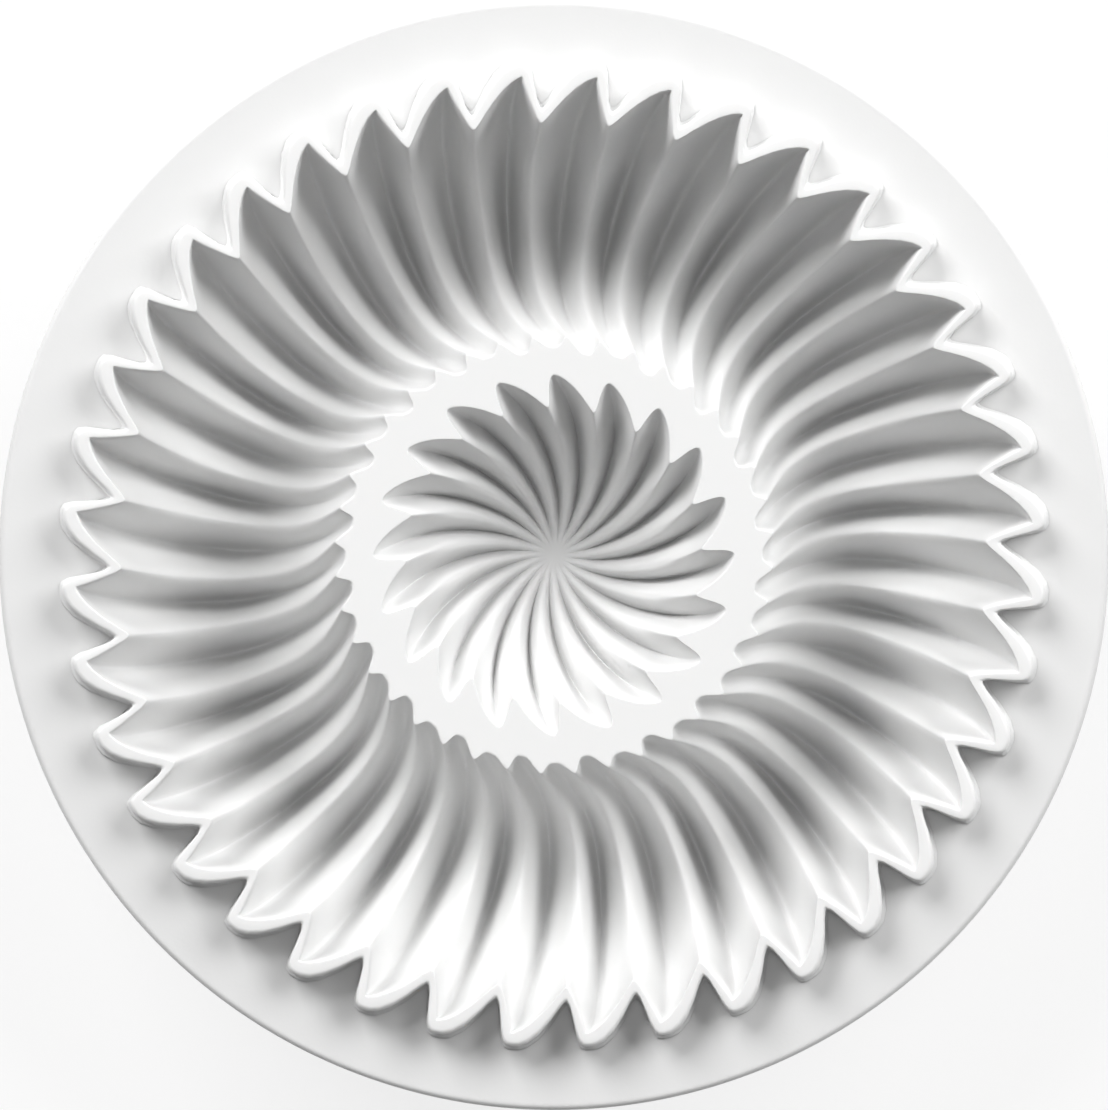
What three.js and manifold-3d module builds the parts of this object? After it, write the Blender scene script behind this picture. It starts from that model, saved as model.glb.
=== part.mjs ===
// Silicone cake mould: a casting with a twisted, fluted ring cavity round a swirl cup, held by a stiff ring.
// Millimetres, +Z up. The origin is the middle of the flat base that the mould stands on.
import * as THREE from 'three';
import Module from 'manifold-3d';

const wasm = await Module();
wasm.setup();

// Ring cavity, measured at the rim plane and at the hub
const FLUTES = 40;
const RIM_TIP_RADIUS = 90;
const RIM_FLUTE_DEPTH = 8.8;
const HUB_RADIUS = 40.6;
const HUB_FLUTE_DEPTH = 2.3;
const HUB_FLUTE_STEP = 0.6;
const RING_DEPTH = 45;
const RIDGE_RISE = 11;
const WALL_ANGLE = THREE.MathUtils.degToRad(30);
const FLUTE_POWER = 1.4;

// Turbine twist of the flutes: a lean across the ring and a hook back at the hub
const FLUTE_TURN = THREE.MathUtils.degToRad(-0.65);
const FLUTE_LEAN = THREE.MathUtils.degToRad(7.6);
const LEAN_POWER = 0.8;
const FLUTE_HOOK = THREE.MathUtils.degToRad(11.5);
const HOOK_POWER = 7;

// Swirl cup in the hub
const PETALS = 20;
const HUB_DROP = 6;
const HUB_LAND = 3.8;
const PETAL_DEPTH = 6.1;
const CUP_DEPTH = 28;
const CUP_SPOT_RADIUS = 2.4;
const CUP_POWER = 2;
const PETAL_CREST_POWER = 1.2;
const PETAL_POWER = 1.9;
const SWIRL_TURN = THREE.MathUtils.degToRad(8.9);
const SWIRL_LEAN = THREE.MathUtils.degToRad(26.5);
const SWIRL_POWER = 0.78;

// Silicone thicknesses and the flat base
const WALL = 3;
const FLOOR = 3;
const CUP_WALL = 3;
const BASE_LAND = 14;
const HOLLOW_GAP = 3;

// Lip above the carrier ring
const LIP_HEIGHT = 6;
const LIP_TIP_LAND = 1.2;
const LIP_CUSP_LAND = 2.4;
const LIP_SHOULDER = 1.2;
const LIP_DRAFT = 2.3;
const LIP_POWER = 1.9;

// Carrier ring and the neck and bead that hold it
const CARRIER_WIDTH = 11.5;
const CARRIER_THICKNESS = 3;
const CARRIER_EDGE = 0.8;
const FOOT_FLARE = 1;
const NECK_CLEARANCE = 0.5;
const SEAT_CLEARANCE = 0.2;
const BEAD_OUT = 0.9;
const BEAD_HEIGHT = 3;

// Facets
const FLUTE_FACETS = 6;
const PETAL_FACETS = 6;
const OUTSIDE_FACETS = 4;
const RING_ROWS = 8;
const CUP_ROWS = 6;
const WALL_ROWS = 4;
const HOLLOW_ROWS = 6;
const HOLLOW_FACETS = 48;
const OVERSHOOT = 4;

// Levels and radii that follow from the sizes above
const TOP = RING_DEPTH + FLOOR;
const HUB_TOP = TOP - HUB_DROP;
const SEAT = TOP - LIP_HEIGHT;
const RIM_CUSP_RADIUS = RIM_TIP_RADIUS - RIM_FLUTE_DEPTH;
const HUB_NOTCH_RADIUS = HUB_RADIUS - HUB_FLUTE_DEPTH - HUB_FLUTE_STEP;
const CUP_TIP_RADIUS = HUB_NOTCH_RADIUS - HUB_LAND;
const VALLEY_MIDDLE = (RIM_TIP_RADIUS + HUB_NOTCH_RADIUS) / 2;
const SHELL_REACH = (RIM_TIP_RADIUS - HUB_NOTCH_RADIUS) / 2 + WALL;
const BASE_ANGLE = Math.acos((BASE_LAND / 2 / SHELL_REACH) * Math.cos(WALL_ANGLE));

// How far round its section an arc has gone, as a share of the way from the wall's top to the bottom angle
function sectionShare(angle, bottomAngle) {
  const start = Math.sin(WALL_ANGLE);
  return (Math.sin(angle) - start) / (Math.sin(bottomAngle) - start);
}

// Angle of the section arc where that share of the depth is reached
function angleAtShare(share, bottomAngle) {
  const start = Math.sin(WALL_ANGLE);
  return Math.asin(start + share * (Math.sin(bottomAngle) - start));
}

// Point at an angle and a radius round the axis
function polarPoint(angle, radius, height) {
  return new THREE.Vector3(radius * Math.cos(angle), radius * Math.sin(angle), height);
}

// Turn of the ring's flutes at a radius inside the rim's tips
function fluteTurn(radius) {
  const across = Math.max(RIM_TIP_RADIUS - radius, 0) / (RIM_TIP_RADIUS - HUB_NOTCH_RADIUS);
  return FLUTE_TURN + FLUTE_LEAN * across ** LEAN_POWER - FLUTE_HOOK * across ** HOOK_POWER;
}

// Turn of the cup's petals at a radius inside their tips
function swirlTurn(radius) {
  const inward = Math.max(CUP_TIP_RADIUS - radius, 0) / CUP_TIP_RADIUS;
  return SWIRL_TURN - SWIRL_LEAN * inward ** SWIRL_POWER;
}

// One closed row of points: place gets each column's phase, its offset from the nearest valley, which is 0 in
// the valley and 1 or -1 on the crests beside it, and a side, which is 1 and -1 on every other flute
function row(count, facets, place) {
  const points = [];
  for (let column = 0; column < count * facets; column += 1) {
    const phase = (2 * Math.PI * column) / (count * facets);
    const offset = (2 * (column % facets)) / facets - 1;
    const side = Math.floor(column / facets) % 2 === 0 ? -1 : 1;
    points.push(place(phase, offset, side));
  }
  return points;
}

// Closed solid through rows of equal length: a tube with flat ends, or a ring if it closes on itself
function loft(rows, closesOnItself) {
  const columns = rows[0].length;
  const points = rows.flat();
  const triangles = [];
  const bands = closesOnItself ? rows.length : rows.length - 1;
  for (let band = 0; band < bands; band += 1) {
    const here = band * columns;
    const next = ((band + 1) % rows.length) * columns;
    for (let column = 0; column < columns; column += 1) {
      const beside = (column + 1) % columns;
      triangles.push(here + column, next + column, next + beside);
      triangles.push(here + column, next + beside, here + beside);
    }
  }
  if (!closesOnItself) {
    const lastRow = (rows.length - 1) * columns;
    points.push(new THREE.Vector3(0, 0, rows[0][0].z));
    points.push(new THREE.Vector3(0, 0, rows[rows.length - 1][0].z));
    for (let column = 0; column < columns; column += 1) {
      const beside = (column + 1) % columns;
      triangles.push(points.length - 2, column, beside);
      triangles.push(points.length - 1, lastRow + beside, lastRow + column);
    }
  }
  return { points, triangles };
}

// A loft as a solid that can be cut
function solid({ points, triangles }) {
  const vertProperties = new Float32Array(points.flatMap((point) => point.toArray()));
  const triVerts = new Uint32Array(triangles);
  return new wasm.Manifold(new wasm.Mesh({ numProp: 3, vertProperties, triVerts }));
}

// A finished solid as a named mesh
function part(name, shape, material) {
  const { vertProperties, triVerts } = shape.getMesh();
  const geometry = new THREE.BufferGeometry();
  geometry.setAttribute('position', new THREE.BufferAttribute(new Float32Array(vertProperties), 3));
  geometry.setIndex(new THREE.BufferAttribute(new Uint32Array(triVerts), 1));
  geometry.computeVertexNormals();
  const mesh = new THREE.Mesh(geometry, material);
  mesh.name = name;
  return mesh;
}

// Share of a flute's depth that is left at an offset from its valley
function valleyShare(offset) {
  return 1 - Math.abs(offset) ** FLUTE_POWER;
}

// Sharp outline of the ring cavity in the rim plane
function rimRadius(offset) {
  return RIM_CUSP_RADIUS + RIM_FLUTE_DEPTH * valleyShare(offset);
}

// Outline of the hub, whose notches are deep and shallow by turns
function hubRadius(offset, side) {
  return HUB_RADIUS - (HUB_FLUTE_DEPTH + side * HUB_FLUTE_STEP) * valleyShare(offset);
}

// Space of the ring cavity: down the outer wall from the rim, across the floor, up to the hub and over it
function ringCavity() {
  const floorDepth = (offset) => RING_DEPTH - RIDGE_RISE * (1 - valleyShare(offset));
  const rows = [row(FLUTES, FLUTE_FACETS, (phase, offset) => {
    const radius = rimRadius(offset);
    return polarPoint(phase + fluteTurn(radius), radius, TOP + OVERSHOOT);
  })];
  for (let step = 0; step <= RING_ROWS; step += 1) {
    const angle = WALL_ANGLE + (step / RING_ROWS) * (Math.PI - 2 * WALL_ANGLE);
    const start = angle < Math.PI / 2 ? TOP : HUB_TOP;
    const down = sectionShare(angle, Math.PI / 2);
    rows.push(row(FLUTES, FLUTE_FACETS, (phase, offset, side) => {
      const middle = (rimRadius(offset) + hubRadius(offset, side)) / 2;
      const reach = (rimRadius(offset) - hubRadius(offset, side)) / 2;
      const radius = middle + (reach * Math.cos(angle)) / Math.cos(WALL_ANGLE);
      const depth = floorDepth(offset) - (TOP - start);
      return polarPoint(phase + fluteTurn(radius), radius, start - depth * down);
    }));
  }
  return solid(loft(rows, false));
}

// Space of the swirl cup: petals that dip below the crests between them and run down to a small plain spot
function cupCavity() {
  const crestShare = (offset) => Math.abs(offset) ** PETAL_POWER;
  const petalRadius = (offset) => CUP_TIP_RADIUS - PETAL_DEPTH * crestShare(offset);
  const petalDepth = (offset, inward) => CUP_DEPTH * (1 - THREE.MathUtils.lerp(
    (1 - inward) ** CUP_POWER, (1 - inward) ** PETAL_CREST_POWER, crestShare(offset)));
  const rows = [row(PETALS, PETAL_FACETS, (phase, offset) => {
    const radius = petalRadius(offset);
    return polarPoint(phase + swirlTurn(radius), radius, HUB_TOP + OVERSHOOT);
  })];
  for (let step = 0; step <= CUP_ROWS; step += 1) {
    const inward = step / CUP_ROWS;
    rows.push(row(PETALS, PETAL_FACETS, (phase, offset) => {
      const radius = THREE.MathUtils.lerp(petalRadius(offset), CUP_SPOT_RADIUS, inward);
      return polarPoint(phase + swirlTurn(radius), radius, HUB_TOP - petalDepth(offset, inward));
    }));
  }
  return solid(loft(rows, false));
}

// Fluted outline of the lip and of all that follows it, grown outwards from the edge of the lip's flat top
function lipRadius(offset, grow) {
  const depth = RIM_FLUTE_DEPTH - (LIP_CUSP_LAND - LIP_TIP_LAND);
  return RIM_CUSP_RADIUS + LIP_CUSP_LAND + grow + depth * (1 - Math.abs(offset) ** LIP_POWER);
}

const NECK_GROW = LIP_DRAFT - FOOT_FLARE;
const BEAD_TOP = SEAT - CARRIER_THICKNESS - 2 * SEAT_CLEARANCE;
const BEAD_BOTTOM = BEAD_TOP - BEAD_HEIGHT;

// Row of the lip's outline, turned as the rim's outline is
function lipRow(grow, height) {
  return row(FLUTES, OUTSIDE_FACETS, (phase, offset) =>
    polarPoint(phase + fluteTurn(rimRadius(offset)), lipRadius(offset, grow), height));
}

// Outside of the casting: lip, foot, neck, bead and a fluted wall that turns plain and round at the base
function outside() {
  const rows = [
    lipRow(0, TOP),
    lipRow(LIP_DRAFT / 2, TOP - LIP_SHOULDER),
    lipRow(LIP_DRAFT, SEAT + LIP_SHOULDER),
    lipRow(LIP_DRAFT, SEAT),
    lipRow(NECK_GROW, SEAT),
    lipRow(NECK_GROW, BEAD_TOP),
    lipRow(NECK_GROW + BEAD_OUT, BEAD_TOP),
  ];
  const startAngle = angleAtShare(1 - BEAD_BOTTOM / TOP, BASE_ANGLE);
  for (let step = 0; step <= WALL_ROWS; step += 1) {
    const angle = THREE.MathUtils.lerp(startAngle, BASE_ANGLE, step / WALL_ROWS);
    const height = TOP * (1 - sectionShare(angle, BASE_ANGLE));
    const valleyRadius = VALLEY_MIDDLE + (SHELL_REACH * Math.cos(angle)) / Math.cos(WALL_ANGLE);
    const fluteDepth = (RIM_FLUTE_DEPTH * height) / SEAT;
    rows.push(row(FLUTES, OUTSIDE_FACETS, (phase, offset) => {
      const radius = valleyRadius - fluteDepth * Math.abs(offset) ** LIP_POWER;
      return polarPoint(phase + fluteTurn(radius - WALL), radius, height);
    }));
  }
  return solid(loft(rows, false));
}

// Hollow under the hub: up the inside of the ring's inner wall and down round the cup
function underside() {
  const tubeRadius = (height) => {
    const angle = angleAtShare(1 - height / HUB_TOP, BASE_ANGLE);
    return VALLEY_MIDDLE - (SHELL_REACH * Math.cos(angle)) / Math.cos(WALL_ANGLE);
  };
  const cupBottom = HUB_TOP - CUP_DEPTH - CUP_WALL;
  const cupRadius = (height) => {
    const risen = (height - cupBottom) / (HUB_TOP - cupBottom);
    return CUP_SPOT_RADIUS + (CUP_TIP_RADIUS + CUP_WALL - CUP_SPOT_RADIUS) * risen ** (1 / CUP_POWER);
  };
  let ceiling = HUB_TOP - WALL;
  while (tubeRadius(ceiling) - cupRadius(ceiling) < HOLLOW_GAP) ceiling -= WALL / 10;
  const profile = [new THREE.Vector2(tubeRadius(0), -OVERSHOOT)];
  for (let step = 0; step <= HOLLOW_ROWS; step += 1) {
    const height = (ceiling * step) / HOLLOW_ROWS;
    profile.push(new THREE.Vector2(tubeRadius(height), height));
  }
  for (let step = HOLLOW_ROWS; step >= 0; step -= 1) {
    const height = THREE.MathUtils.lerp(cupBottom, ceiling, (step / HOLLOW_ROWS) ** CUP_POWER);
    profile.push(new THREE.Vector2(cupRadius(height), height));
  }
  const rows = profile.map(({ x, y }) => row(HOLLOW_FACETS, 1, (phase) => polarPoint(phase, x, y)));
  return solid(loft(rows.reverse(), false));
}

// Stiff flat ring with a fluted opening that fits the neck of the casting
function carrierRing() {
  const top = SEAT - SEAT_CLEARANCE;
  const bottom = top - CARRIER_THICKNESS;
  const edge = lipRadius(0, LIP_DRAFT) + CARRIER_WIDTH;
  const edgeRow = (radius, height) => row(FLUTES, OUTSIDE_FACETS, (phase) => polarPoint(phase, radius, height));
  return solid(loft([
    lipRow(NECK_GROW + NECK_CLEARANCE, bottom),
    lipRow(NECK_GROW + NECK_CLEARANCE, top),
    edgeRow(edge - CARRIER_EDGE, top),
    edgeRow(edge, top - CARRIER_EDGE),
    edgeRow(edge, bottom + CARRIER_EDGE),
    edgeRow(edge - CARRIER_EDGE, bottom),
  ], true));
}

const silicone = new THREE.MeshStandardMaterial({ color: 0xf0f0ee, roughness: 0.55, metalness: 0 });
const stiffPlastic = new THREE.MeshStandardMaterial({ color: 0xebebea, roughness: 0.45, metalness: 0 });

const casting = outside().subtract(ringCavity()).subtract(cupCavity()).subtract(underside());

const mould = new THREE.Group();
mould.add(part('mould_body', casting, silicone));
mould.add(part('carrier_ring', carrierRing(), stiffPlastic));

export default mould;
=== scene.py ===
import math

import bmesh
import bpy
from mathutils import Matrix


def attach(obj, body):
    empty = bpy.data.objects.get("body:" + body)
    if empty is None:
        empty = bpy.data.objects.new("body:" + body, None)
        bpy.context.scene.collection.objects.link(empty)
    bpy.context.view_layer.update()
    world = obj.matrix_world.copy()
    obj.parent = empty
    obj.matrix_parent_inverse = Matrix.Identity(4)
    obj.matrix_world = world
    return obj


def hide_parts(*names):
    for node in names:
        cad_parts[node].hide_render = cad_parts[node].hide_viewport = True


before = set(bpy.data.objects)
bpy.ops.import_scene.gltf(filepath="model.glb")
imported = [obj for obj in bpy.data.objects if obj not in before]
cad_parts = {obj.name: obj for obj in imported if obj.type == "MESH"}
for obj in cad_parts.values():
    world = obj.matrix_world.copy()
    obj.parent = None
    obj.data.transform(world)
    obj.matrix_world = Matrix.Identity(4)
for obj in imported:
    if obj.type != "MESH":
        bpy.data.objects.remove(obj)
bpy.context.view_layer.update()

# Finish of the casting
# Platinum-cured silicone, dyed through white, with the fine satin skin that a blasted steel tool leaves.
# Light goes a little way into it, so its edges look soft.

SILICONE_WHITE = (0.79, 0.79, 0.787, 1.0)
SILICONE_SHADE = (0.775, 0.775, 0.773, 1.0)
SILICONE_ROUGHNESS = 0.5
SILICONE_GRAIN = 2200.0
SILICONE_GRAIN_DEPTH = 0.00002
CLOUD_SCALE = 45.0
SMEAR_SCALE = 160.0
SMEAR_REACH = 0.06
GRAIN_STRENGTH = 0.35


def linked(tree, node_type, inputs=None, **settings):
    """A new node with its settings made and its inputs set or linked."""
    node = tree.nodes.new(node_type)
    for name, value in settings.items():
        setattr(node, name, value)
    for name, value in (inputs or {}).items():
        if isinstance(value, bpy.types.NodeSocket):
            tree.links.new(value, node.inputs[name])
        else:
            node.inputs[name].default_value = value
    return node


def moulded_finish(name, light, shade, roughness, grain_scale, grain_depth):
    """Moulded white surface: faint cloudy tone, uneven gloss and the fine grain of the tool."""
    material = bpy.data.materials.new(name)
    material.use_nodes = True
    tree = material.node_tree
    shader = tree.nodes["Principled BSDF"]
    place = linked(tree, "ShaderNodeTexCoord").outputs["Object"]
    cloud = linked(tree, "ShaderNodeTexNoise", {"Vector": place, "Scale": CLOUD_SCALE, "Detail": 3.0})
    tone = linked(tree, "ShaderNodeMix", {"Factor": cloud.outputs["Fac"]}, data_type="RGBA")
    tone.inputs["A"].default_value = light
    tone.inputs["B"].default_value = shade
    tree.links.new(tone.outputs["Result"], shader.inputs["Base Color"])
    smear = linked(tree, "ShaderNodeTexNoise", {"Vector": place, "Scale": SMEAR_SCALE, "Detail": 2.0})
    gloss = linked(tree, "ShaderNodeMapRange", {"Value": smear.outputs["Fac"]})
    gloss.inputs["To Min"].default_value = roughness - SMEAR_REACH
    gloss.inputs["To Max"].default_value = roughness + SMEAR_REACH
    tree.links.new(gloss.outputs["Result"], shader.inputs["Roughness"])
    grain = linked(tree, "ShaderNodeTexNoise", {"Vector": place, "Scale": grain_scale, "Detail": 2.0})
    bump = linked(tree, "ShaderNodeBump", {"Height": grain.outputs["Fac"], "Strength": GRAIN_STRENGTH})
    bump.inputs["Distance"].default_value = grain_depth
    tree.links.new(bump.outputs["Normal"], shader.inputs["Normal"])
    return material


silicone = moulded_finish(
    "white_silicone", SILICONE_WHITE, SILICONE_SHADE,
    SILICONE_ROUGHNESS, SILICONE_GRAIN, SILICONE_GRAIN_DEPTH)
silicone_shader = silicone.node_tree.nodes["Principled BSDF"]
silicone_shader.inputs["Subsurface Weight"].default_value = 0.12
silicone_shader.inputs["Subsurface Radius"].default_value = (1.0, 0.95, 0.9)
silicone_shader.inputs["Subsurface Scale"].default_value = 0.0015
silicone_shader.inputs["Specular IOR Level"].default_value = 0.35

# Mould body
# One silicone casting: flat base, fluted wall, neck and bead, lip, ring cavity and hub with its swirl cup.
# It is poured in one go in a two-part tool. Each surface is a section swept round the axis with its flutes.

MM = 0.001
FLUTES = 40
PETALS = 20
COLUMNS_PER_FLUTE = 16
COLUMNS = FLUTES * COLUMNS_PER_FLUTE
COLUMN_PITCH = 2 * math.pi / COLUMNS
WELD = 0.004 * MM
NUDGE = 0.0001

# What a row of a section says: lengths in millimetres, then shares, powers and angles
ROW_LENGTHS = ("valley_radius", "shallow_radius", "valley_height", "crest_radius", "crest_height", "follow")
ROW_SHAPES = ("power", "valley_round", "crest_round", "softness", "fluted", "turn", "spread", "skew")
ROW_VALUES = ROW_LENGTHS + ROW_SHAPES


def row(valley, crest=None, shallow=None, **values):
    """One row of the sweep: where it lies in a flute's valley and on the crest beside it, in millimetres."""
    crest = crest or valley
    made = dict.fromkeys(ROW_VALUES, 0.0)
    made.update(valley_radius=valley[0], valley_height=valley[1])
    made.update(crest_radius=crest[0], crest_height=crest[1])
    made.update(shallow_radius=valley[0] if shallow is None else shallow, power=1.0, skew=1.0)
    made.update(values)
    return made


class Field:
    """A number in a node tree that takes plain arithmetic."""

    def __init__(self, tree, socket):
        self.tree = tree
        self.socket = socket

    def math(self, operation, *others):
        """Field that a math node makes from this one and other fields or plain numbers."""
        node = self.tree.nodes.new("ShaderNodeMath")
        node.operation = operation
        for slot, value in zip(node.inputs, (self, *others)):
            if isinstance(value, Field):
                self.tree.links.new(value.socket, slot)
            else:
                slot.default_value = value
        return Field(self.tree, node.outputs[0])

    def __add__(self, other):
        return self.math("ADD", other)

    def __sub__(self, other):
        return self.math("SUBTRACT", other)

    def __mul__(self, other):
        return self.math("MULTIPLY", other)

    def __truediv__(self, other):
        return self.math("DIVIDE", other)

    def __pow__(self, other):
        return self.math("POWER", other)

    def mixed(self, other, share):
        """Field that lies a share of the way from this one to another."""
        return self + (other - self) * share

    def rounded(self, width):
        """Share from 0 to 1 whose corner at 0 is rounded off over a width."""
        whole = (width * width + 1).math("SQRT") - width
        return ((self * self + width * width).math("SQRT") - width).math("MAXIMUM", 0) / whole


def fluted_sweep():
    """Node tree that sweeps a section round the axis, with flutes that twist as they run inwards."""
    tree = bpy.data.node_groups.new("fluted_sweep", "GeometryNodeTree")
    face = tree.interface
    face.new_socket("Section", in_out="INPUT", socket_type="NodeSocketGeometry")
    face.new_socket("Flutes", in_out="INPUT", socket_type="NodeSocketInt")
    face.new_socket("Columns", in_out="INPUT", socket_type="NodeSocketInt")
    for name in ("Tip Radius", "Inner Radius", "Lean", "Lean Power", "Hook", "Hook Power", "Crest Power"):
        face.new_socket(name, in_out="INPUT", socket_type="NodeSocketFloat")
    face.new_socket("Finish", in_out="INPUT", socket_type="NodeSocketMaterial")
    face.new_socket("Sweep", in_out="OUTPUT", socket_type="NodeSocketGeometry")
    given = tree.nodes.new("NodeGroupInput").outputs
    size = {name: Field(tree, given[name]) for name in given.keys() if name not in ("Section", "Finish", "")}

    # Grid of rows and columns, and each point's row values
    count = linked(tree, "GeometryNodeAttributeDomainSize", {"Geometry": given["Section"]})
    across_count = size["Columns"] + 1
    grid = linked(tree, "GeometryNodeMeshGrid", {"Vertices X": count.outputs["Point Count"]})
    tree.links.new(across_count.socket, grid.inputs["Vertices Y"])
    index = Field(tree, tree.nodes.new("GeometryNodeInputIndex").outputs["Index"])
    row_number = (index / across_count + NUDGE).math("FLOOR")
    column = index - row_number * across_count
    value = {}
    for name in ROW_VALUES:
        named = linked(tree, "GeometryNodeInputNamedAttribute", {"Name": name}, data_type="FLOAT")
        sample = linked(tree, "GeometryNodeSampleIndex", {"Geometry": given["Section"]}, data_type="FLOAT")
        tree.links.new(named.outputs["Attribute"], sample.inputs["Value"])
        tree.links.new(row_number.socket, sample.inputs["Index"])
        value[name] = Field(tree, sample.outputs["Value"])

    # Place across one flute, -1 and 1 on its crests and 0 in its valley, with columns gathered at both
    flute_place = column * size["Flutes"] / size["Columns"] + NUDGE
    flute_number = flute_place.math("FLOOR")
    even = (flute_place.math("FRACT") - NUDGE) * 2 - 1
    apart = even.math("ABSOLUTE")
    gathered = apart * apart * (apart * -2 + 3)
    offset = apart.mixed(gathered, value["fluted"])
    across = offset * even.math("SIGN")

    # Wave across the flute: 0 in the valley, 1 on the crest
    from_crest = (offset * -1 + 1).rounded(value["crest_round"])
    climbed = (from_crest * -1 + 1).rounded(value["valley_round"])
    soft_wave = (climbed * -1 + 1) ** size["Crest Power"] * -1 + 1
    crest_share = (climbed ** value["power"]).mixed(soft_wave, value["softness"])
    deep = flute_number.math("MODULO", 2)
    valley_radius = value["shallow_radius"].mixed(value["valley_radius"], deep)
    radius = valley_radius.mixed(value["crest_radius"], crest_share)
    height = value["valley_height"].mixed(value["crest_height"], crest_share)

    # Twist of the flutes, which follows the radius of each point, or less of it where the row's skew is small
    twist_radius = value["valley_radius"].mixed(radius, value["skew"])
    inwards = (size["Tip Radius"] - twist_radius + value["follow"]).math("MAXIMUM", 0)
    inwards = inwards / (size["Tip Radius"] - size["Inner Radius"])
    twist = size["Lean"] * inwards ** size["Lean Power"] - size["Hook"] * inwards ** size["Hook Power"]
    angle = (flute_number + 0.5 + across * 0.5) * (2 * math.pi) / size["Flutes"]
    angle = angle + value["turn"] + value["fluted"] * twist + across * value["spread"] * (deep * 2 - 1)
    point = tree.nodes.new("ShaderNodeCombineXYZ")
    for axis, field in zip("XYZ", (radius * angle.math("COSINE"), radius * angle.math("SINE"), height)):
        tree.links.new(field.socket, point.inputs[axis])
    placed = {"Geometry": grid.outputs["Mesh"], "Position": point.outputs[0]}
    swept = linked(tree, "GeometryNodeSetPosition", placed)

    # The seam and the poles close
    closed = linked(tree, "GeometryNodeMergeByDistance", {"Geometry": swept.outputs[0], "Distance": WELD})
    smooth = linked(tree, "GeometryNodeSetShadeSmooth", {"Geometry": closed.outputs[0]})
    real = linked(tree, "GeometryNodeRealizeInstances", {"Geometry": smooth.outputs[0]})
    dressed = {"Geometry": real.outputs[0], "Material": given["Finish"]}
    finished = linked(tree, "GeometryNodeSetMaterial", dressed)
    result = tree.nodes.new("NodeGroupOutput")
    tree.links.new(finished.outputs[0], result.inputs[0])
    return tree


sweep_tree = fluted_sweep()


def swept_mesh(name, rows, finish, sizes):
    """Plain mesh of a section's rows swept round the axis by the node tree."""
    section = bpy.data.meshes.new(name + "_section")
    section.from_pydata([(0.0, 0.0, 0.0)] * len(rows), [], [])
    for value_name in ROW_VALUES:
        scale = MM if value_name in ROW_LENGTHS else 1.0
        attribute = section.attributes.new(value_name, "FLOAT", "POINT")
        attribute.data.foreach_set("value", [made[value_name] * scale for made in rows])
    maker = bpy.data.objects.new(name + "_maker", section)
    bpy.context.scene.collection.objects.link(maker)
    modifier = maker.modifiers.new("sweep", "NODES")
    modifier.node_group = sweep_tree
    for item in sweep_tree.interface.items_tree:
        if item.in_out == "INPUT" and item.name in sizes:
            modifier[item.identifier] = sizes[item.name]
        if item.in_out == "INPUT" and item.name == "Finish":
            modifier[item.identifier] = finish
    depsgraph = bpy.context.evaluated_depsgraph_get()
    mesh = bpy.data.meshes.new_from_object(maker.evaluated_get(depsgraph), depsgraph=depsgraph)
    bpy.data.objects.remove(maker)
    return mesh


def closed_piece(name, meshes, finish):
    """One closed, outward piece welded from meshes that meet edge to edge."""
    shell = bmesh.new()
    for mesh in meshes:
        shell.from_mesh(mesh)
    bmesh.ops.remove_doubles(shell, verts=shell.verts, dist=WELD)
    bmesh.ops.recalc_face_normals(shell, faces=shell.faces)
    mesh = bpy.data.meshes.new(name)
    shell.to_mesh(mesh)
    shell.free()
    mesh.materials.clear()
    mesh.materials.append(finish)
    mesh.shade_smooth()
    piece = bpy.data.objects.new(name, mesh)
    bpy.context.scene.collection.objects.link(piece)
    return piece


def arc(centre, radius, start, end, steps):
    """Points of an arc in a section, in millimetres and degrees."""
    points = []
    for step in range(steps + 1):
        angle = math.radians(start + (end - start) * step / steps)
        points.append((centre[0] + radius * math.cos(angle), centre[1] + radius * math.sin(angle)))
    return points


def ramp(along, start, end):
    """Smooth step that is 0 at the start and 1 at the end."""
    share = min(1.0, max(0.0, (along - start) / (end - start)))
    return share * share * (3 - 2 * share)


def mix(first, second, share):
    """Value that lies a share of the way from the first to the second."""
    return first + (second - first) * share


# Levels and thicknesses of the casting
TOP = 48.0
HUB_TOP = 42.0
SEAT = 42.0
FLOOR = 3.0
WALL = 3.0
RIDGE_RISE = 11.0
BASE_LAND = 14.0
CUP_WALL = 3.0
HOLLOW_GAP = 3.0
CEILING_STEP = 0.1

# Ring cavity at the rim and at the hub
RIM_TIP = 90.0
RIM_CUSP = 81.2
RIM_EDGE = 0.3
HUB_BUMP = 41.6
HUB_NOTCH = 38.7
HUB_SHALLOW_NOTCH = 39.6
HUB_EDGE = 0.45
HUB_EDGE_ROW = 0.12
EDGE_ROW = 0.1
SECTION_START = math.radians(30)
RING_STEPS = 46

# Flutes: their twist, and the wave across them at the rim, on the floor and at the hub
FLUTE_TURN = math.radians(-0.65)
FLUTE_SPREAD = math.radians(0.45)
FLUTE_LEAN = math.radians(6.4)
LEAN_POWER = 0.56
FLUTE_HOOK = math.radians(10.4)
HOOK_POWER = 6.1
RIM_POWER = 1.15
HUB_POWER = 2.0
WALL_POWER = 1.9
CREST_POWER = 1.8
CREST_SOFTNESS = 0.7
VALLEY_ROUND = 0.05
FLOOR_ROUND = 0.2
HUB_NOTCH_ROUND = 0.35
RIM_ROUND = 0.1
HUB_ROUND = 0.3
HUB_SKEW = 0.38

# Shares of the way from the rim to the hub where the wave changes
SOFT_FROM = 0.3
FLOOR_ROUND_FROM = 0.35
SKEW_START = 0.5
HUB_POWER_START = 0.6
HUB_NOTCH_START = 0.75
SOFT_UNTIL = 0.8

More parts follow.
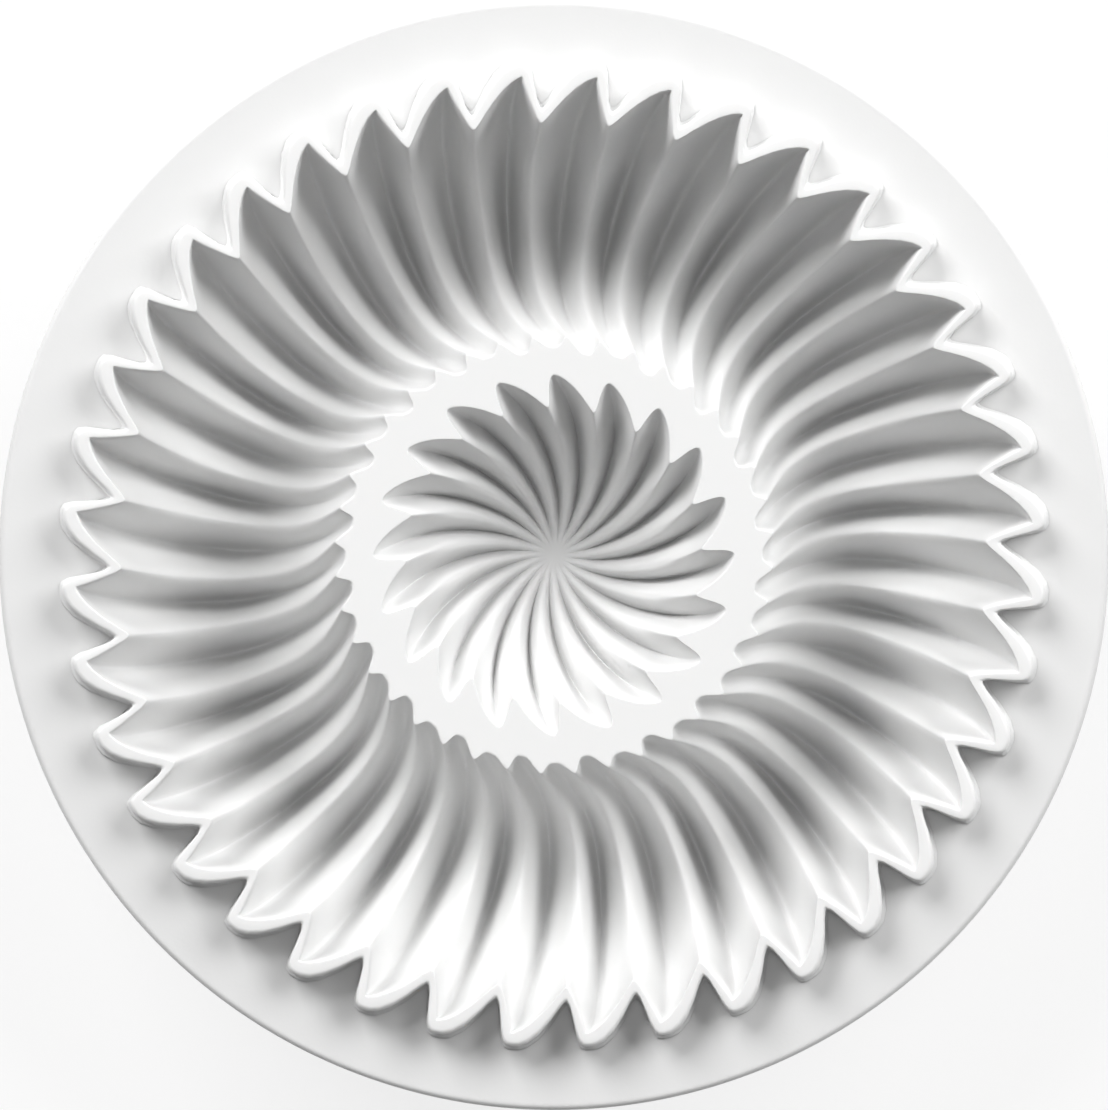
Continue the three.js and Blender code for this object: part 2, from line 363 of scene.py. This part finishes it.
ring_sizes = {
    "Flutes": FLUTES, "Columns": COLUMNS, "Tip Radius": RIM_TIP * MM, "Inner Radius": HUB_NOTCH * MM,
    "Lean": FLUTE_LEAN, "Lean Power": LEAN_POWER, "Hook": FLUTE_HOOK, "Hook Power": HOOK_POWER,
    "Crest Power": CREST_POWER,
}

# Section of the lip, the neck and the bead, as distances out from the rim's edge
LIP_BLUNTNESS = 0.26
LIP_TIP_ROUND = 0.095
LIP_CUSP_ROUND = 0.05
LIP_CUSP_REACH = 1.1
LIP_FULLNESS = 0.24
LIP_AHEAD = math.radians(0.12)
LIP_LAND = 1.8
LIP_SHOULDER = 0.9
FOOT = 3.7
FOOT_BEVEL = 0.1
FOOT_FACE = 0.2
FOOT_FILLET = 0.95
NECK = 2.5
BEAD = 3.4
BEAD_TOP = 38.6
BEAD_BOTTOM = 35.6
BEAD_EDGE = 0.4
BEAD_NOSE = 0.7
BEAD_NOSE_RISE = 1.6

# Swirl cup
CUP_TIP = 33.9
CUP_CUSP = 27.8
CUP_SPOT = 2.4
CUP_DEPTH = 28.0
CUP_EDGE = 0.35
CUP_POWER = 2.4
CUP_STEPS = 30
SWIRL_TURN = math.radians(8.9)
SWIRL_LEAN = math.radians(-31.3)
SWIRL_POWER = 0.92
PETAL_POWER = 1.6
PETAL_VALLEY_ROUND = 0.02
PETAL_CREST_ROUND = 0.14
RIB_POWER = 1.62
RIB_ROUNDNESS = 2.0
RIB_SOFT_FROM = 0.3

cup_sizes = {
    "Flutes": PETALS, "Columns": COLUMNS, "Tip Radius": CUP_TIP * MM, "Inner Radius": 0.0,
    "Lean": SWIRL_LEAN, "Lean Power": SWIRL_POWER, "Hook": 0.0, "Hook Power": 1.0,
    "Crest Power": RIB_ROUNDNESS,
}

# Seam on the hub's land, turned by whole columns on both sides so that their points meet
HUB_SEAM = 36.2
HUB_SEAM_TURN = -7 * COLUMN_PITCH
CUP_SEAM_TURN = 16 * COLUMN_PITCH

# Underside: cup, hollow and inner wall, then the flat base
BASE_TURN = math.radians(3.25)
HOLLOW_STEPS = 6
WALL_STEPS = 9

section_start = math.sin(SECTION_START)
shell_middle = (RIM_TIP + HUB_NOTCH) / 2
shell_reach = (RIM_TIP - HUB_NOTCH) / 2 + WALL
base_angle = math.acos(BASE_LAND / 2 / shell_reach * math.cos(SECTION_START))
cup_bottom = HUB_TOP - CUP_DEPTH - CUP_WALL


def shell_depth(angle):
    """Share of the shell's depth that is reached at an angle round its section."""
    return (math.sin(angle) - section_start) / (math.sin(base_angle) - section_start)


def shell_angle(depth):
    """Angle round the shell's section where a share of its depth is reached."""
    return math.asin(mix(section_start, math.sin(base_angle), depth))


def shell_offset(angle):
    """Distance of the shell's wall from the middle of the ring at an angle round its section."""
    return shell_reach * math.cos(angle) / math.cos(SECTION_START)


def cup_outside(height):
    """Radius of the cup's outside at a height."""
    risen = (height - cup_bottom) / (HUB_TOP - cup_bottom)
    return mix(CUP_SPOT, CUP_TIP + CUP_WALL, risen ** (1 / CUP_POWER))


def tube_inside(height):
    """Radius of the hollow under the hub at a height."""
    return shell_middle - shell_offset(shell_angle(1 - height / HUB_TOP))


ceiling = HUB_TOP - WALL
while tube_inside(ceiling) - cup_outside(ceiling) < HOLLOW_GAP:
    ceiling -= CEILING_STEP
body_rows = [row((0.0, cup_bottom), turn=BASE_TURN)]
for step in range(HOLLOW_STEPS + 1):
    height = mix(cup_bottom, ceiling, (step / HOLLOW_STEPS) ** CUP_POWER)
    body_rows.append(row((cup_outside(height), height), turn=BASE_TURN))
for step in range(HOLLOW_STEPS + 1):
    height = ceiling * (1 - step / HOLLOW_STEPS)
    body_rows.append(row((tube_inside(height), height), turn=BASE_TURN))

# Outside wall from the base up to the bead, with flutes that fade towards the base
bead_angle = shell_angle(1 - BEAD_BOTTOM / TOP)
for step in range(WALL_STEPS + 1):
    angle = mix(base_angle, bead_angle, step / WALL_STEPS)
    height = TOP * (1 - shell_depth(angle))
    valley = shell_middle + shell_offset(angle)
    crest = valley - (RIM_TIP - RIM_CUSP) * height / SEAT
    body_rows.append(row(
        (valley, height), (crest, height), power=WALL_POWER, fluted=1.0, turn=FLUTE_TURN, follow=WALL))

# Bead and neck, then foot and lip, from below
neck_section = [
    *arc((BEAD - BEAD_NOSE, BEAD_BOTTOM + BEAD_NOSE_RISE), BEAD_NOSE, -60, 0, 3),
    *arc((BEAD - BEAD_EDGE, BEAD_TOP - BEAD_EDGE), BEAD_EDGE, 0, 90, 3),
    (NECK, BEAD_TOP),
    (NECK, SEAT),
]
lip_section = [
    (FOOT - FOOT_BEVEL, SEAT),
    (FOOT, SEAT + FOOT_BEVEL),
    *arc((FOOT, SEAT + FOOT_FACE + FOOT_FILLET), FOOT_FILLET, 270, 180, 6),
    *arc((LIP_LAND, TOP - LIP_SHOULDER), LIP_SHOULDER, 0, 90, 6),
    (RIM_EDGE + EDGE_ROW, TOP),
    *arc((RIM_EDGE, TOP - RIM_EDGE), RIM_EDGE, 90, 165, 4),
]


def rim_row(distance, height, fullness=0.0, forward=0.0):
    """Row along the rim's outline at a distance outside it, with rounder tips and cusps farther out."""
    ahead = LIP_BLUNTNESS * distance
    turned_ahead = FLUTE_LEAN * (ahead / (RIM_TIP - HUB_NOTCH)) ** LEAN_POWER
    return row(
        (RIM_TIP + distance, height), (RIM_CUSP + LIP_CUSP_REACH * distance, height),
        power=RIM_POWER + fullness * distance,
        valley_round=VALLEY_ROUND + LIP_TIP_ROUND * distance,
        crest_round=RIM_ROUND + LIP_CUSP_ROUND * distance,
        turn=FLUTE_TURN - turned_ahead + forward * distance,
        fluted=1.0, follow=distance + ahead)


body_rows += [rim_row(distance, height) for distance, height in neck_section]
body_rows += [rim_row(distance, height, LIP_FULLNESS, LIP_AHEAD) for distance, height in lip_section]


def ring_radius(rim, hub, swing):
    """Radius between one at the rim, where the swing is 1, and one at the hub, where it is -1."""
    return ((rim + hub) + (rim - hub) * swing) / 2


# Ring cavity from the rim down to the floor and up to the hub
for step in range(RING_STEPS + 1):
    along = step / RING_STEPS
    angle = mix(SECTION_START, math.pi - SECTION_START, along)
    down = (math.sin(angle) - section_start) / (1 - section_start)
    swing = math.cos(angle) / math.cos(SECTION_START)
    edge = TOP - RIM_EDGE if angle < math.pi / 2 else HUB_TOP - HUB_EDGE
    floor_round = mix(VALLEY_ROUND, FLOOR_ROUND, ramp(along, 0, FLOOR_ROUND_FROM))
    body_rows.append(row(
        (ring_radius(RIM_TIP, HUB_NOTCH, swing), mix(edge, FLOOR, down)),
        (ring_radius(RIM_CUSP, HUB_BUMP, swing), mix(edge, FLOOR + RIDGE_RISE, down)),
        ring_radius(RIM_TIP, HUB_SHALLOW_NOTCH, swing),
        power=mix(RIM_POWER, HUB_POWER, ramp(along, HUB_POWER_START, 1)),
        valley_round=floor_round + (HUB_NOTCH_ROUND - FLOOR_ROUND) * ramp(along, HUB_NOTCH_START, 1),
        crest_round=mix(RIM_ROUND, HUB_ROUND, along),
        softness=CREST_SOFTNESS * ramp(along, 0, SOFT_FROM) * ramp(along, 1, SOFT_UNTIL),
        skew=mix(1, HUB_SKEW, ramp(along, SKEW_START, 1)),
        spread=FLUTE_SPREAD * down, fluted=1.0, turn=FLUTE_TURN))

# Rounded edge of the hub and its flat land, as far as the seam with the cup
hub_section = [
    *arc((HUB_EDGE, HUB_TOP - HUB_EDGE), HUB_EDGE, 165, 90, 5),
    (HUB_EDGE + HUB_EDGE_ROW, HUB_TOP),
]
for distance, height in hub_section:
    body_rows.append(row(
        (HUB_NOTCH - distance, height), (HUB_BUMP - distance, height), HUB_SHALLOW_NOTCH - distance,
        power=HUB_POWER, valley_round=HUB_NOTCH_ROUND, crest_round=HUB_ROUND, skew=HUB_SKEW,
        fluted=1.0, turn=FLUTE_TURN, follow=-distance))
body_rows.append(row((HUB_SEAM, HUB_TOP), turn=HUB_SEAM_TURN))

# Swirl cup from the seam over its rounded edge to the plain spot in its middle
petal = {
    "power": PETAL_POWER, "valley_round": PETAL_VALLEY_ROUND, "crest_round": PETAL_CREST_ROUND,
    "fluted": 1.0, "turn": SWIRL_TURN,
}
cup_section = [
    (CUP_EDGE + EDGE_ROW, HUB_TOP),
    *arc((CUP_EDGE, HUB_TOP - CUP_EDGE), CUP_EDGE, 90, 165, 5),
]
cup_rows = [row((HUB_SEAM, HUB_TOP), turn=CUP_SEAM_TURN)]
for distance, height in cup_section:
    valley = (CUP_TIP + distance, height)
    crest = (CUP_CUSP + distance, height)
    cup_rows.append(row(valley, crest, follow=distance, **petal))
for step in range(CUP_STEPS + 1):
    along = step / CUP_STEPS
    edge = HUB_TOP - CUP_EDGE
    bottom = HUB_TOP - CUP_DEPTH
    valley = (mix(CUP_TIP, CUP_SPOT, along), mix(bottom, edge, (1 - along) ** CUP_POWER))
    crest = (mix(CUP_CUSP, CUP_SPOT, along), mix(bottom, edge, (1 - along) ** RIB_POWER))
    cup_rows.append(row(valley, crest, softness=ramp(along, 0, RIB_SOFT_FROM), **petal))
cup_rows.append(row((0.0, HUB_TOP - CUP_DEPTH), turn=CUP_SEAM_TURN))

mould_body = closed_piece("silicone_casting", [
    swept_mesh("casting", body_rows, silicone, ring_sizes),
    swept_mesh("swirl_cup", cup_rows, silicone, cup_sizes),
], silicone)
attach(mould_body, "root")
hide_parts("mould_body")

# Carrier ring
# Flat ring of stiff white plastic that keeps the soft casting flat and is held to carry it.
# It snaps into the neck under the lip's foot, so its fluted opening follows the rim.

PLASTIC_WHITE = (0.73, 0.73, 0.728, 1.0)
PLASTIC_SHADE = (0.715, 0.715, 0.713, 1.0)
PLASTIC_ROUGHNESS = 0.55
PLASTIC_GRAIN = 1500.0
PLASTIC_GRAIN_DEPTH = 0.00003
CARRIER_EDGE_RADIUS = 105.0
CARRIER_TOP = 41.8
CARRIER_BOTTOM = 38.8
CARRIER_ROUND = 1.1
CARRIER_EDGE_ROW = 0.3
OPENING = 3.0
OPENING_ROUND = 0.3

plastic = moulded_finish(
    "matt_white_plastic", PLASTIC_WHITE, PLASTIC_SHADE,
    PLASTIC_ROUGHNESS, PLASTIC_GRAIN, PLASTIC_GRAIN_DEPTH)
edge_middle = CARRIER_EDGE_RADIUS - CARRIER_ROUND
opening_middle = OPENING + OPENING_ROUND
edge_section = [
    (edge_middle - CARRIER_EDGE_ROW, CARRIER_TOP),
    *arc((edge_middle, CARRIER_TOP - CARRIER_ROUND), CARRIER_ROUND, 90, 0, 6),
    *arc((edge_middle, CARRIER_BOTTOM + CARRIER_ROUND), CARRIER_ROUND, 0, -90, 6),
    (edge_middle - CARRIER_EDGE_ROW, CARRIER_BOTTOM),
]
opening_section = [
    (opening_middle + EDGE_ROW, CARRIER_BOTTOM),
    *arc((opening_middle, CARRIER_BOTTOM + OPENING_ROUND), OPENING_ROUND, 270, 180, 3),
    *arc((opening_middle, CARRIER_TOP - OPENING_ROUND), OPENING_ROUND, 180, 90, 3),
    (opening_middle + EDGE_ROW, CARRIER_TOP),
]
carrier_rows = [rim_row(distance, height) for distance, height in opening_section]
carrier_rows += [row((radius, height)) for radius, height in edge_section]
carrier_rows.append(carrier_rows[0])

carrier_ring = closed_piece(
    "stiff_carrier_ring", [swept_mesh("carrier", carrier_rows, plastic, ring_sizes)], plastic)
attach(carrier_ring, "root")
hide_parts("carrier_ring")

# Floor
# Plain white table under the mould.
# The camera sees it nearly white, and it keeps a pale shadow.

WHITE = (1.0, 1.0, 1.0, 1.0)
TABLE_WHITE = (0.9, 0.9, 0.9, 1.0)
TABLE_HALF_WIDTH = 4.0
TABLE_GLOW = 0.8

corners = [(-1, -1), (1, -1), (1, 1), (-1, 1)]
floor_points = [(x * TABLE_HALF_WIDTH, y * TABLE_HALF_WIDTH, 0) for x, y in corners]
floor_mesh = bpy.data.meshes.new("floor")
floor_mesh.from_pydata(floor_points, [], [(0, 1, 2, 3)])
floor = bpy.data.objects.new("floor", floor_mesh)
bpy.context.scene.collection.objects.link(floor)
table_white = bpy.data.materials.new("table_white")
table_white.use_nodes = True
table_tree = table_white.node_tree
table_tree.nodes.clear()
matt = linked(table_tree, "ShaderNodeBsdfDiffuse", {"Color": TABLE_WHITE})
glow = linked(table_tree, "ShaderNodeEmission", {"Color": WHITE, "Strength": 1.0})
table_ray = linked(table_tree, "ShaderNodeLightPath")
seen = linked(table_tree, "ShaderNodeMath", {0: table_ray.outputs["Is Camera Ray"]}, operation="ADD")
table_tree.links.new(table_ray.outputs["Is Glossy Ray"], seen.inputs[1])
glow_share = linked(table_tree, "ShaderNodeMath", {0: seen.outputs[0], 1: TABLE_GLOW}, operation="MULTIPLY")
table_mix = linked(table_tree, "ShaderNodeMixShader", {
    0: glow_share.outputs[0], 1: matt.outputs[0], 2: glow.outputs[0]})
linked(table_tree, "ShaderNodeOutputMaterial", {"Surface": table_mix.outputs[0]})
floor_mesh.materials.append(table_white)

# Light
# Two soft boxes stand behind the mould, left and right, and a weak one hangs above.
# The white room fills the shadows.

ROOM_FILL = 0.125
BOX_DISTANCE = 5.0

# Name, heading and rise in degrees, width and height in metres, watts
SOFT_BOXES = (
    ("left_box", 125, 34, 2.8, 3.0, 246.0),
    ("right_box", 39, 33, 3.6, 3.0, 231.0),
    ("top_box", 90, 85, 1.6, 1.6, 22.0),
)

for name, heading, rise, width, height, power in SOFT_BOXES:
    lamp = bpy.data.lights.new(name, "AREA")
    lamp.shape = "RECTANGLE"
    lamp.size = width
    lamp.size_y = height
    lamp.energy = power
    box = bpy.data.objects.new(name, lamp)
    level = BOX_DISTANCE * math.cos(math.radians(rise))
    lift = BOX_DISTANCE * math.sin(math.radians(rise))
    turn = math.radians(heading)
    box.location = (level * math.cos(turn), level * math.sin(turn), lift)
    box.rotation_mode = "QUATERNION"
    box.rotation_quaternion = box.location.to_track_quat("Z", "Y")
    bpy.context.scene.collection.objects.link(box)

room = bpy.data.worlds.new("white_room")
bpy.context.scene.world = room
room.use_nodes = True
room_tree = room.node_tree
room_tree.nodes.clear()
fill = linked(room_tree, "ShaderNodeBackground", {"Color": WHITE, "Strength": ROOM_FILL})
backdrop = linked(room_tree, "ShaderNodeBackground", {"Color": WHITE, "Strength": 1.0})
room_ray = linked(room_tree, "ShaderNodeLightPath")
room_mix = linked(room_tree, "ShaderNodeMixShader", {
    0: room_ray.outputs["Is Camera Ray"], 1: fill.outputs[0], 2: backdrop.outputs[0]})
linked(room_tree, "ShaderNodeOutputWorld", {"Surface": room_mix.outputs[0]})

# Camera
# It looks straight down from far above.
# The carrier ring just fills the picture.

CAMERA_LENS = 200.0
SENSOR = 36.0
FRAME_HEIGHT = 0.2098

camera_data = bpy.data.cameras.new("overhead")
camera_data.lens = CAMERA_LENS
camera_data.sensor_width = SENSOR
camera = bpy.data.objects.new("overhead", camera_data)
camera.location = (0.0, 0.0, CARRIER_TOP * MM + FRAME_HEIGHT * CAMERA_LENS / SENSOR)
bpy.context.scene.collection.objects.link(camera)
bpy.context.scene.camera = camera
bpy.context.scene.view_settings.view_transform = "Standard"
